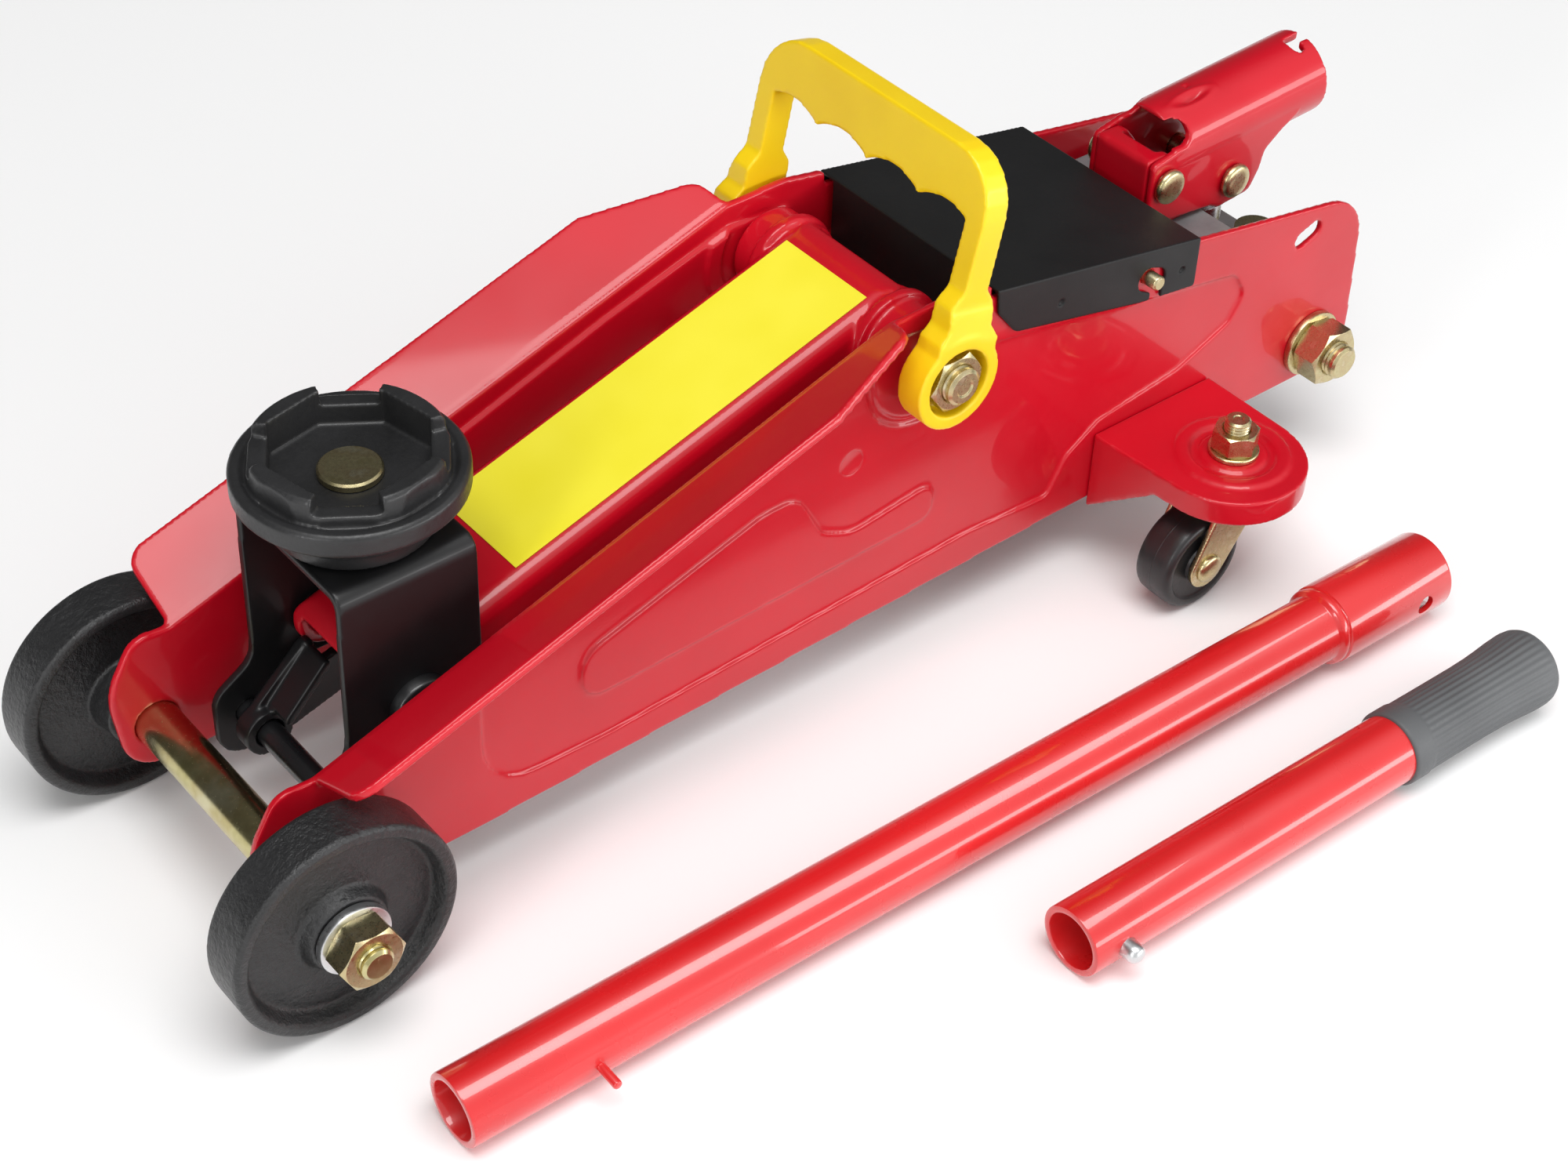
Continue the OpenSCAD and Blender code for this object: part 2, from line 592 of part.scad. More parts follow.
ear_y = 11.5;
cheek_in = 12;
module socket_yoke() color(red) difference() {
    union() {
        both_sides() across(ear_y - 3.5, ear_y) polygon(rounded([[-339, block_top, 0], [-339, 124, 2],
            [-349, 124, 5], [-357, 114, 8], [-367, 105, 4], [-367, block_top, 0]]));
        translate([-367, -ear_y, block_top]) cube([28, 2 * ear_y, 3]);
        across(-ear_y, ear_y) polygon(rounded([[-339, block_top, 0], [-339, 124, 2.5], [-346.5, 124, 1],
            [-346.5, 121, 1], [-342, 121, 1], [-342, block_top, 0]]));
    }
    bar_y(socket_pivot, 4, -30, 30);
}

// Shifts and tilts what is drawn about the socket's axis, with x = 0 at socket_mid
module at_socket() translate([socket_mid.x, 0, socket_mid.y]) rotate([0, socket_tilt, 0]) children();

socket_cheek = [[-339.5, 123.2, 2.5], [-339.2, 105, 4], [-350, 99.6, 6], [-369.5, 97.6, 2],
    [-374, 95.4, 3], [-388.5, 96.8, 4], [-392.2, 104, 5], [-393.6, 110.5, 4], [-400.8, 115.9, 5],
    [-407, 119.2, 2], [-408, 124, 0], [-357, 124, 0], [-352.5, 126, 1]];
module handle_socket() color(red) difference() {
    union() {
        at_socket() bar_x(0, 0, socket_r, -socket_len, 30);
        both_sides() across(cheek_in - 0.4, socket_r - 0.2) polygon(rounded(socket_cheek));
    }
    at_socket() {
        bar_x(0, 0, socket_bore, -socket_len - 1, 60);
        // wider and open underneath from here on, to straddle the yoke and the pump piston
        along(-15, 60) {
            circle(r = cheek_in);
            translate([-cheek_in, -60]) square([2 * cheek_in, 60]);
        }
        // bayonet slot for the tube's pin: in from the open end, then a hook to one side
        linear_extrude(30) {
            hull() {
                translate([-socket_len - 3, 0.8]) circle(r = 2);
                translate([-socket_len + 6.2, 0.8]) circle(r = 2);
            }
            hull() {
                translate([-socket_len + 6.2, 0.8]) circle(r = 2);
                translate([-socket_len + 5.9, 4.4]) circle(r = 2);
            }
        }
    }
    // rounded opening in each side in front of the round part
    across(-30, 30) hull() {
        translate([-353.1, 129.5]) circle(r = 3.6);
        translate([-330, 126]) square([1, 7.2]);
    }
    bar_y(socket_pivot, 4 + run, -30, 30);
    bar_y(pump_pin, 4, -30, 30);
}
// Shank through both cheeks with a domed head outside each
module cross_rivet(at) union() {
    bar_y(at, 4, -socket_r - 1, socket_r + 1);
    both_sides() turned_y(at) polygon([[0, socket_r + 0.3], [6, socket_r + 0.3], [6, socket_r + 2.2],
        [4.8, socket_r + 3.2], [0, socket_r + 3.2]]);
}
module socket_pivot_rivet() color(gold) cross_rivet(socket_pivot);
module pump_rivet() color(gold) cross_rivet(pump_pin);

// ---- carry handle ----

boss_in = 42.6;
boss_out = 53;
boss_r = 15.4;
// The handle is loose on the shaft and has slid this far to the jack's left
carry_shift = 1.2;
// Front view of the handle: a deep top bar with finger grooves along its underside
module carry_front() difference() {
    union() {
        polygon(rounded([[-carry_y, 10, 0], [-carry_y, carry_h, 17], [carry_y, carry_h, 17], [carry_y, 10, 0]]));
        both_sides_2d() polygon(rounded([[boss_in, -10, 0], [boss_in, 20, 0], [carry_y, 28, 3],
            [boss_out - 0.8, 17, 2], [boss_out, 13, 1], [boss_out, -10, 0]]));
    }
    intersection() {
        translate([-boss_in - 0.5, 0]) square([2 * boss_in + 1, carry_h]);
        union() {
            translate([-boss_in - 1, -1]) square([2 * boss_in + 2, carry_h - 20]);
            for (y = [-34.5, -11.5, 11.5, 34.5]) translate([y, carry_h - 38.1]) circle(r = 20.6);
        }
    }
}
module both_sides_2d() { children(); mirror([1, 0, 0]) children(); }
// Side view: each leg narrows in two steps above its boss
carry_side = [[-11.6, 0, 0], [-11.6, 14, 1.5], [-8.6, 17.5, 2], [-8.6, 24.5, 2], [-4.8, 29, 3],
    [-4.5, carry_h + 1, 0], [4.5, carry_h + 1, 0], [4.8, 29, 3], [8.6, 24.5, 2], [8.6, 17.5, 2],
    [11.6, 14, 1.5], [11.6, 0, 0]];
module carry_handle() color(yellow) translate([pivot.x, carry_shift, pivot.y])
    rotate([0, -carry_lean, 0]) difference() {
        union() {
            intersection() {
                along(-14, 14) carry_front();
                across(-60, 60) polygon(rounded(carry_side));
            }
            both_sides() bar_y([0, 0], boss_r, boss_in, boss_out);
        }
        bar_y([0, 0], shaft_r + run, -60, 60);
        both_sides() bar_y([0, 0], 11.2, 46.1, boss_out + 1);
    }

// ---- pump handle, in two pieces on the floor beside the jack ----

tube_bore = tube_r - tube_wall;
collar_bore = tube_r + 0.25;
collar_at = lower_len - collar_len;
// Lays a tube on the floor: its front end at x, y and its thicker rear raised to rest on radius r
module laid(x, y, r, reach) translate([x, y, tube_r]) rotate([0, asin((r - tube_r) / reach), -tube_turn])
    children();
module at_lower() laid(lower_x, lower_y, collar_r, collar_at) children();
module at_upper() laid(upper_x, upper_y, grip_r, upper_len - 5.5) children();
module turned_back() rotate([0, -90, 0]) rotate_extrude() children();
pin_back = 40;
hole_back = 12.4;
button_back = 11.7;

// The rear of the lower tube is swaged out to a collar behind a rounded bead
module lower_tube() color(red) at_lower() difference() {
    turned_back() polygon([[tube_bore, 0], [tube_r - 0.7, 0], [tube_r, 0.7], [tube_r, collar_at - 4.2],
        [tube_r + 0.7, collar_at - 3.8], [12.7, collar_at - 2.9], [12.9, collar_at - 2.3],
        [12.9, collar_at - 1.5], [12.6, collar_at - 1], [12.6, collar_at - 0.6], [collar_r, collar_at],
        [collar_r, lower_len - 0.8], [collar_r - 0.8, lower_len], [collar_bore, lower_len],
        [collar_bore, collar_at + 3], [tube_bore, collar_at + 1]]);
    translate([-pin_back, 0, 0]) bar_y([0, 0], 1.4, 0, 20);
    translate([hole_back - lower_len, 0, 0]) bar_y([0, 0], 3.3, 0, 20);
}
module lower_tube_pin() color(red) at_lower() translate([-pin_back, 0, 0])
    bar_y([0, 0], 1.4, tube_bore - 1.5, 19.3);
module upper_tube() color(red) at_upper() difference() {
    turned_back() polygon([[tube_bore, 0], [tube_r - 0.7, 0], [tube_r, 0.7], [tube_r, upper_len - 4],
        [tube_bore, upper_len - 4]]);
    translate([-button_back, 0, 0]) bar_y([0, 0], 3.1 + run, 0, 20);
}
module snap_button() color(silver) at_upper() translate([-button_back, 0, 0]) turned_y([0, 0])
    polygon([[0, 4], [4.2, 4], [4.2, 5.4], [3.1, 5.4], [3.1, tube_r + 2.4], [2.9, tube_r + 3.6],
        [2.2, tube_r + 4.7], [1.2, tube_r + 5.2], [0, tube_r + button_reach]]);
// Moulded grip: smooth front collar, slightly waisted body and a fuller rounded end
grip_at = upper_len - grip_len;
module grip() color("#55585b") at_upper() difference() {
    turned_back() polygon([[0, grip_at], [12, grip_at], [12.3, grip_at + 0.6], [12.3, grip_at + 7.4],
        [11.9, grip_at + 7.8], [11.9, grip_at + 36], [12.3, grip_at + 48], [13.05, grip_at + 56],
        [grip_r, grip_at + 60], [12.9, grip_at + 62.7], [12, grip_at + 64.7], [10.8, upper_len],
        [0, upper_len]]);
    bar_x(0, 0, tube_r, -upper_len + 4, 0);
}

// ---- build ----

place() {
    side_plate_left();
    side_plate_right();
    caster_bracket_left();
    caster_bracket_right();
    front_axle();
    front_wheel_left();
    front_wheel_right();
    front_spacers();
    front_washers();
    front_nuts();
    rear_tie_bolt();
    rear_tie_washers();
    rear_tie_nuts();
    caster_bolts();
    caster_washers();
    caster_nuts();
    caster_fork_left();
    caster_fork_right();
    caster_wheel_left();
    caster_wheel_right();
    caster_rivet_left();
    caster_rivet_right();
    lift_arm();
    arm_label();
    arm_shaft();
    arm_shaft_nuts();
    horn_pin();
    horn_roller();
    levelling_link();
    link_rear_pin();
    saddle_bracket();
    saddle_pivot_pin();
    link_front_rod();
    saddle();
    saddle_rivet();
    base_block();
    main_cylinder();
    cylinder_gland();
    reservoir();
    ram();
    ram_pad();
    pump_barrel();
    pump_piston();
    release_valve();
    relief_screw();
    filler_plug();
    return_springs();
    spring_anchors();
    cover();
    cover_screws();
    socket_yoke();
    handle_socket();
    socket_pivot_rivet();
    pump_rivet();
    carry_handle();
    lower_tube();
    lower_tube_pin();
    upper_tube();
    snap_button();
    grip();
}
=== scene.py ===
import json
import math

import bmesh
import bpy
from mathutils import Matrix, Vector


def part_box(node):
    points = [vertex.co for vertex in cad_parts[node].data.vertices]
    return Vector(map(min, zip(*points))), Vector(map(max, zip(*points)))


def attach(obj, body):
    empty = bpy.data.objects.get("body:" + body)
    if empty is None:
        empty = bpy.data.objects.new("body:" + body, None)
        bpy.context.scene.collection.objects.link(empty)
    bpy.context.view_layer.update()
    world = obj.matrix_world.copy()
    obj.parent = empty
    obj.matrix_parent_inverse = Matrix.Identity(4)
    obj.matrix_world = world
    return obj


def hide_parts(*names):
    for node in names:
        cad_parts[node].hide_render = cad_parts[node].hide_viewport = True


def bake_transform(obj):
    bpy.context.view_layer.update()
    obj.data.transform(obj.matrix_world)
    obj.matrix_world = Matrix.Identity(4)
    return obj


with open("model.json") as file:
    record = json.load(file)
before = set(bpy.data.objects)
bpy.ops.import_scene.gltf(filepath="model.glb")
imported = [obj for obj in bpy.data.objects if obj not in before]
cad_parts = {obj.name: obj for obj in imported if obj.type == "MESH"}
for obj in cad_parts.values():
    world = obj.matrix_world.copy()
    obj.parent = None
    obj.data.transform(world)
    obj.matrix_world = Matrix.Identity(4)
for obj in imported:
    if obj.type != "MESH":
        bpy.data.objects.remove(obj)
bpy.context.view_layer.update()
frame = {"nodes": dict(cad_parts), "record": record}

nodes = frame["nodes"]
body_of = {n: b for b, members in frame["record"]["behaviour"]["bodies"].items() for n in members}
slot_of = {s["node"]: s["material_slot"] for s in frame["record"]["subparts"]}
MM = 0.001


def middle(node):
    low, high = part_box(node)
    return (Vector(low) + Vector(high)) / 2


AXLE = middle("front_axle")          # middle of the front axle: the jack's own x = 0, y = 0


def at(x, y, z):
    """A point given in mm from the front axle, the jack's middle plane and the floor."""
    return Vector((AXLE.x + x * MM, AXLE.y + y * MM, z * MM))


# ---- camera and studio ----

def make_camera():
    cam = bpy.data.cameras.new("camera")
    ob = bpy.data.objects.new("camera", cam)
    bpy.context.collection.objects.link(ob)
    az, el, roll = math.radians(139.353), math.radians(40.57), math.radians(2.535)
    back = Vector((math.sin(az) * math.cos(el), -math.cos(az) * math.cos(el), math.sin(el)))
    side = Vector((0, 0, 1)).cross(back).normalized()
    over = back.cross(side)
    right = side * math.cos(roll) + over * math.sin(roll)
    up = over * math.cos(roll) - side * math.sin(roll)
    m = Matrix((right, up, back)).transposed().to_4x4()
    m.translation = at(241.139, 518.637, 592.249)
    ob.matrix_world = m
    cam.sensor_width = 36
    cam.lens = 63.658
    cam.clip_start = 0.05
    cam.clip_end = 20
    bpy.context.scene.camera = ob


def area_light(name, place, target, size, size_y, power):
    data = bpy.data.lights.new(name, "AREA")
    data.energy = power
    data.shape = "RECTANGLE"
    data.size = size
    data.size_y = size_y
    ob = bpy.data.objects.new(name, data)
    ob.location = place
    ob.rotation_euler = (Vector(target) - Vector(place)).to_track_quat("-Z", "Y").to_euler()
    bpy.context.collection.objects.link(ob)


def make_studio():
    floor_mat = bpy.data.materials.new("studio_floor")
    floor_mat.use_nodes = True
    bsdf = floor_mat.node_tree.nodes["Principled BSDF"]
    bsdf.inputs["Base Color"].default_value = (0.96, 0.96, 0.96, 1)
    bsdf.inputs["Roughness"].default_value = 0.7
    bsdf.inputs["Specular IOR Level"].default_value = 0.2
    me = bpy.data.meshes.new("studio_floor")
    half, level = 6, -0.3 * MM
    corners = [(-half, -half, level), (half, -half, level), (half, half, level), (-half, half, level)]
    me.from_pydata(corners, [], [(0, 1, 2, 3)])
    me.materials.append(floor_mat)
    floor = bpy.data.objects.new("studio_floor", me)
    bpy.context.collection.objects.link(floor)

    world = bpy.data.worlds.new("studio")
    bpy.context.scene.world = world
    world.use_nodes = True
    nt = world.node_tree
    nt.nodes.clear()
    out = nt.nodes.new("ShaderNodeOutputWorld")
    # a room that is bright overhead and on the jack's left, and dim behind its right side
    tc = nt.nodes.new("ShaderNodeTexCoord")
    dot = nt.nodes.new("ShaderNodeVectorMath")
    dot.operation = "DOT_PRODUCT"
    dot.inputs[1].default_value = (0.0, 0.8, 0.6)
    fade = nt.nodes.new("ShaderNodeMapRange")
    fade.interpolation_type = "SMOOTHSTEP"
    fade.inputs["From Min"].default_value = 0.05
    fade.inputs["From Max"].default_value = 0.75
    fade.inputs["To Min"].default_value = 0.10
    fade.inputs["To Max"].default_value = 0.95
    room = nt.nodes.new("ShaderNodeBackground")
    pale = nt.nodes.new("ShaderNodeBackground")
    pale.inputs["Color"].default_value = (0.94, 0.94, 0.94, 1)
    path = nt.nodes.new("ShaderNodeLightPath")
    mix = nt.nodes.new("ShaderNodeMixShader")
    nt.links.new(tc.outputs["Generated"], dot.inputs[0])
    nt.links.new(dot.outputs["Value"], fade.inputs["Value"])
    nt.links.new(fade.outputs["Result"], room.inputs["Strength"])
    nt.links.new(path.outputs["Is Camera Ray"], mix.inputs["Fac"])
    nt.links.new(room.outputs["Background"], mix.inputs[1])
    nt.links.new(pale.outputs["Background"], mix.inputs[2])
    nt.links.new(mix.outputs["Shader"], out.inputs["Surface"])

    mid = at(-180, 30, 60)
    area_light("overhead", mid + Vector((0.25, 0.5, 1.9)), mid, 1.5, 0.9, power=26)
    area_light("wall_strip", mid + Vector((-1.15, 2.0, 0.45)), mid, 2.6, 0.5, power=24)
    area_light("front_strip", mid + Vector((1.7, 0.6, 0.6)), mid, 0.25, 1.0, power=7)


# ---- materials ----

def new_material(name):
    mat = bpy.data.materials.new(name)
    mat.use_nodes = True
    nt = mat.node_tree
    return mat, nt, nt.nodes["Principled BSDF"]


def noise_node(nt, scale, detail=3.0, rough=0.55, stretch=None):
    tc = nt.nodes.new("ShaderNodeTexCoord")
    tex = nt.nodes.new("ShaderNodeTexNoise")
    tex.inputs["Scale"].default_value = scale
    tex.inputs["Detail"].default_value = detail
    tex.inputs["Roughness"].default_value = rough
    if stretch:
        mp = nt.nodes.new("ShaderNodeMapping")
        mp.inputs["Scale"].default_value = stretch
        nt.links.new(tc.outputs["Object"], mp.inputs["Vector"])
        nt.links.new(mp.outputs["Vector"], tex.inputs["Vector"])
    else:
        nt.links.new(tc.outputs["Object"], tex.inputs["Vector"])
    return tex


def ramp_node(nt, source, stops):
    """Colours over a noise value: stops are [(position, (r, g, b))]."""
    ramp = nt.nodes.new("ShaderNodeValToRGB")
    els = ramp.color_ramp.elements
    while len(els) < len(stops):
        els.new(0.5)
    for e, (pos, col) in zip(els, stops):
        e.position = pos
        e.color = (*col, 1)
    nt.links.new(source, ramp.inputs["Fac"])
    return ramp


def range_node(nt, source, low, high):
    """Spreads the middle of a noise value over low to high."""
    mr = nt.nodes.new("ShaderNodeMapRange")
    mr.inputs["From Min"].default_value = 0.3
    mr.inputs["From Max"].default_value = 0.7
    mr.inputs["To Min"].default_value = low
    mr.inputs["To Max"].default_value = high
    nt.links.new(source, mr.inputs["Value"])
    return mr


def add_bumps(nt, bsdf, layers, edge=0.0):
    """Bump layers [(texture output, strength, distance in mm)], over a rounded-edge normal of radius edge mm."""
    normal = None
    if edge:
        bevel = nt.nodes.new("ShaderNodeBevel")
        bevel.samples = 4
        bevel.inputs["Radius"].default_value = edge * MM
        normal = bevel.outputs["Normal"]
    for tex, strength, distance in layers:
        bump = nt.nodes.new("ShaderNodeBump")
        bump.inputs["Strength"].default_value = strength
        bump.inputs["Distance"].default_value = distance * MM
        nt.links.new(tex, bump.inputs["Height"])
        if normal:
            nt.links.new(normal, bump.inputs["Normal"])
        normal = bump.outputs["Normal"]
    if normal:
        nt.links.new(normal, bsdf.inputs["Normal"])


def enamel(name, dark, light, rough, coat=0.6, coat_rough=0.06, peel=0.25, edge=0.0, grain=0.0, spec=0.5):
    """Gloss paint: slow colour drift, orange peel and roughness that varies as on sprayed steel."""
    mat, nt, bsdf = new_material(name)
    drift = noise_node(nt, 14, 2)
    ramp = ramp_node(nt, drift.outputs["Fac"], [(0.35, dark), (0.65, light)])
    nt.links.new(ramp.outputs["Color"], bsdf.inputs["Base Color"])
    smear = noise_node(nt, 60, 4)
    nt.links.new(range_node(nt, smear.outputs["Fac"], *rough).outputs["Result"], bsdf.inputs["Roughness"])
    bsdf.inputs["Coat Weight"].default_value = coat
    bsdf.inputs["Coat Roughness"].default_value = coat_rough
    bsdf.inputs["Specular IOR Level"].default_value = spec
    layers = [(noise_node(nt, 420, 2).outputs["Fac"], peel, 0.02)]
    if grain:
        layers.append((noise_node(nt, 1800, 3, 0.65).outputs["Fac"], grain, 0.08))
    add_bumps(nt, bsdf, layers, edge)
    return mat


def zinc(name, tints, rough=(0.2, 0.36), edge=0.25, scale=70, scratch=0.18):
    """Passivated steel: metal whose tint wanders between the given colours, with fine turning marks."""
    mat, nt, bsdf = new_material(name)
    bsdf.inputs["Metallic"].default_value = 1.0
    wander = noise_node(nt, scale, 3, 0.6)
    gap = 0.4 / (len(tints) - 1)
    ramp = ramp_node(nt, wander.outputs["Fac"], [(0.3 + gap * i, tint) for i, tint in enumerate(tints)])
    nt.links.new(ramp.outputs["Color"], bsdf.inputs["Base Color"])
    marks = noise_node(nt, 900, 4, 0.7)
    nt.links.new(range_node(nt, marks.outputs["Fac"], *rough).outputs["Result"], bsdf.inputs["Roughness"])
    fine = noise_node(nt, 2600, 2, 0.6, stretch=(1, 0.12, 1))
    add_bumps(nt, bsdf, [(fine.outputs["Fac"], scratch, 0.02)], edge)
    return mat


def cast(name, dark, light, rough=(0.42, 0.62), grain=0.5, scale=900, depth=0.12, edge=0.3):
    """Painted casting: a sandy skin under thin black paint."""
    mat, nt, bsdf = new_material(name)
    drift = noise_node(nt, 45, 4)
    ramp = ramp_node(nt, drift.outputs["Fac"], [(0.35, dark), (0.7, light)])
    nt.links.new(ramp.outputs["Color"], bsdf.inputs["Base Color"])
    sand = noise_node(nt, scale, 4, 0.65)
    nt.links.new(range_node(nt, sand.outputs["Fac"], *rough).outputs["Result"], bsdf.inputs["Roughness"])
    lumps = noise_node(nt, scale / 5, 2)
    add_bumps(nt, bsdf, [(lumps.outputs["Fac"], grain * 0.4, depth * 3), (sand.outputs["Fac"], grain, depth)], edge)
    return mat


def plastic(name, dark, light, rough, edge=0.4, sheen_bump=0.15, subsurface=0.0, coat=0.0):
    """Moulded plastic or a printed film: even colour with a faint grain in its sheen."""
    mat, nt, bsdf = new_material(name)
    drift = noise_node(nt, 25, 2)
    ramp = ramp_node(nt, drift.outputs["Fac"], [(0.3, dark), (0.7, light)])
    nt.links.new(ramp.outputs["Color"], bsdf.inputs["Base Color"])
    fine = noise_node(nt, 1400, 3)
    nt.links.new(range_node(nt, fine.outputs["Fac"], *rough).outputs["Result"], bsdf.inputs["Roughness"])
    bsdf.inputs["Coat Weight"].default_value = coat
    bsdf.inputs["Coat Roughness"].default_value = 0.15
    if subsurface:
        bsdf.inputs["Subsurface Weight"].default_value = subsurface
        bsdf.inputs["Subsurface Radius"].default_value = (1.0, 0.6, 0.1)
        bsdf.inputs["Subsurface Scale"].default_value = 0.002
    add_bumps(nt, bsdf, [(fine.outputs["Fac"], sheen_bump, 0.03)], edge)
    return mat


RED = enamel("red_enamel", (0.49, 0.0015, 0.011), (0.56, 0.003, 0.015), rough=(0.3, 0.42), coat=0.55, coat_rough=0.05,
             spec=0.28)
RED_EDGE = enamel("red_enamel_small", (0.49, 0.0015, 0.011), (0.56, 0.003, 0.015), rough=(0.3, 0.42), coat=0.55,
                  coat_rough=0.05, edge=0.5, spec=0.28)
RED_TUBE = enamel("red_tube", (0.60, 0.010, 0.012), (0.68, 0.016, 0.018), rough=(0.24, 0.34), coat=1.0, coat_rough=0.04,
                  peel=0.15)
BLACK = enamel("black_enamel", (0.004, 0.004, 0.0045), (0.008, 0.008, 0.009), rough=(0.36, 0.5), coat=0.12,
               coat_rough=0.12, peel=0.3, grain=0.15, spec=0.4)
BLACK_PIN = enamel("black_pin", (0.005, 0.005, 0.0055), (0.010, 0.010, 0.011), rough=(0.25, 0.4), coat=0.5,
                   coat_rough=0.12, peel=0.3, edge=0.5, grain=0.05)
COVER = enamel("cover_black", (0.006, 0.006, 0.0065), (0.010, 0.010, 0.0105), rough=(0.46, 0.58), coat=0.0, peel=0.15,
               grain=0.3, spec=0.32)
GOLD = zinc("zinc_gold", [(0.50, 0.43, 0.22), (0.60, 0.53, 0.30), (0.56, 0.46, 0.26), (0.66, 0.60, 0.40)],
            rough=(0.24, 0.34), scale=160, scratch=0.1)
GOLD_ROD = zinc("zinc_gold_rod", [(0.44, 0.39, 0.16), (0.60, 0.54, 0.28), (0.53, 0.45, 0.22), (0.66, 0.61, 0.39)],
                rough=(0.18, 0.28), scale=60, scratch=0.1)
SILVER = zinc("zinc_silver", [(0.62, 0.63, 0.64), (0.74, 0.75, 0.76)], rough=(0.25, 0.4))
STEEL = zinc("bright_steel", [(0.50, 0.50, 0.51), (0.62, 0.62, 0.63)], rough=(0.18, 0.32))
WHEEL = cast("cast_black", (0.013, 0.013, 0.0135), (0.023, 0.023, 0.024), edge=0.0, grain=1.0, scale=620, depth=0.5,
             rough=(0.26, 0.42))
SADDLE = cast("cast_saddle", (0.014, 0.014, 0.0145), (0.024, 0.024, 0.025), edge=0.0, grain=0.45, rough=(0.3, 0.46))
CASTER = cast("caster_black", (0.010, 0.010, 0.011), (0.018, 0.018, 0.019), edge=0.3, grain=0.2, rough=(0.3, 0.45))
BLOCK = cast("cast_block", (0.14, 0.14, 0.145), (0.22, 0.22, 0.22), edge=0.5, grain=0.6)
PLUG = plastic("black_plastic", (0.012, 0.012, 0.012), (0.02, 0.02, 0.02), rough=(0.5, 0.6))
YELLOW = plastic("handle_yellow", (0.84, 0.57, 0.003), (0.91, 0.65, 0.008), rough=(0.3, 0.42), edge=0.0,
                 subsurface=0.12)
LABEL = plastic("label_yellow", (0.88, 0.78, 0.03), (0.95, 0.86, 0.06), rough=(0.28, 0.4), edge=0.1,
                sheen_bump=0.05, coat=0.3)
GRIP = plastic("grip_grey", (0.085, 0.088, 0.092), (0.11, 0.114, 0.118), rough=(0.5, 0.65), edge=0.0, sheen_bump=0.3)

NODE_MATERIALS = {
    "red_enamel": RED_EDGE, "zinc_gold": GOLD, "zinc_silver": SILVER, "bright_steel": STEEL,
    "cast_black": WHEEL, "caster_black": CASTER, "black_enamel": BLACK_PIN, "cast_block": BLOCK,
    "black_plastic": PLUG, "label_yellow": LABEL, "handle_yellow": YELLOW, "grip_grey": GRIP,
}


def set_material(ob, mat):
    ob.data.materials.clear()
    ob.data.materials.append(mat)


own_material = {"lower_tube": RED_TUBE, "lower_tube_pin": RED_TUBE, "upper_tube": RED_TUBE, "front_axle": GOLD_ROD}
for name, ob in nodes.items():
    mat = own_material.get(name, NODE_MATERIALS[slot_of[name]])
    if not ob.data.materials:
        ob.data.materials.append(mat)
    for i in range(len(ob.data.materials)):
        ob.data.materials[i] = mat


# ---- mesh helpers ----

def finish_piece(ob, node, mat):
    """Gives the visible piece of a CAD node its material and body, and hides the CAD node."""
    set_material(ob, mat)
    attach(ob, body_of[node])
    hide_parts(node)
    return ob


def evaluated_copy(ob, name):
    dg = bpy.context.evaluated_depsgraph_get()
    me = bpy.data.meshes.new_from_object(ob.evaluated_get(dg))
    me.name = name
    return me


def soften(node, voxel, rounds, mat):
    """A copy of a CAD node with pressed or cast edges: remeshed fine, then relaxed a little."""
    me = nodes[node].data.copy()
    ob = bpy.data.objects.new("tmp", me)
    bpy.context.collection.objects.link(ob)
    m = ob.modifiers.new("remesh", "REMESH")
    m.mode = "VOXEL"
    m.voxel_size = voxel * MM
    m.use_smooth_shade = True
    s = ob.modifiers.new("relax", "SMOOTH")
    s.factor = 0.5
    s.iterations = rounds
    out = evaluated_copy(ob, node + "_formed")
    bpy.data.objects.remove(ob)
    for p in out.polygons:
        p.use_smooth = True
    piece = bpy.data.objects.new(node + "_formed", out)
    bpy.context.collection.objects.link(piece)
    return finish_piece(piece, node, mat)


def mesh_object(name, verts, faces):
    """A smooth-shaded object with its faces turned outwards."""
    me = bpy.data.meshes.new(name)
    me.from_pydata([tuple(v) for v in verts], [], faces)
    me.validate()
    bm = bmesh.new()
    bm.from_mesh(me)
    bmesh.ops.recalc_face_normals(bm, faces=bm.faces)
    bm.to_mesh(me)
    bm.free()
    for p in me.polygons:
        p.use_smooth = True
    ob = bpy.data.objects.new(name, me)
    bpy.context.collection.objects.link(ob)
    return ob


def axes_for(direction):
    """Two axes square to a direction, and the direction itself, as unit vectors."""
    w = Vector(direction).normalized()
    u = w.orthogonal().normalized()
    return u, w.cross(u), w


def ring_faces(steps, n):
    """Faces between neighbouring closed sections of n points each, steps sections round."""
    return [(i * n + k, (i + 1) % steps * n + k, (i + 1) % steps * n + (k + 1) % n, i * n + (k + 1) % n)
            for i in range(steps) for k in range(n)]


def revolve(profile, origin, direction, steps=96):
    """Verts and faces of a profile [(radius mm, height mm)] turned about an axis."""
    u, v, w = axes_for(direction)
    verts = []
    for i in range(steps):
        a = 2 * math.pi * i / steps
        d = u * math.cos(a) + v * math.sin(a)
        for r, h in profile:
            verts.append(Vector(origin) + d * (r * MM) + w * (h * MM))
    return verts, ring_faces(steps, len(profile))


def merge(parts):
    """Several (verts, faces) joined into one."""
    verts, faces = [], []
    for v, f in parts:
        base = len(verts)
        verts += v
        faces += [tuple(i + base for i in face) for face in f]
    return verts, faces


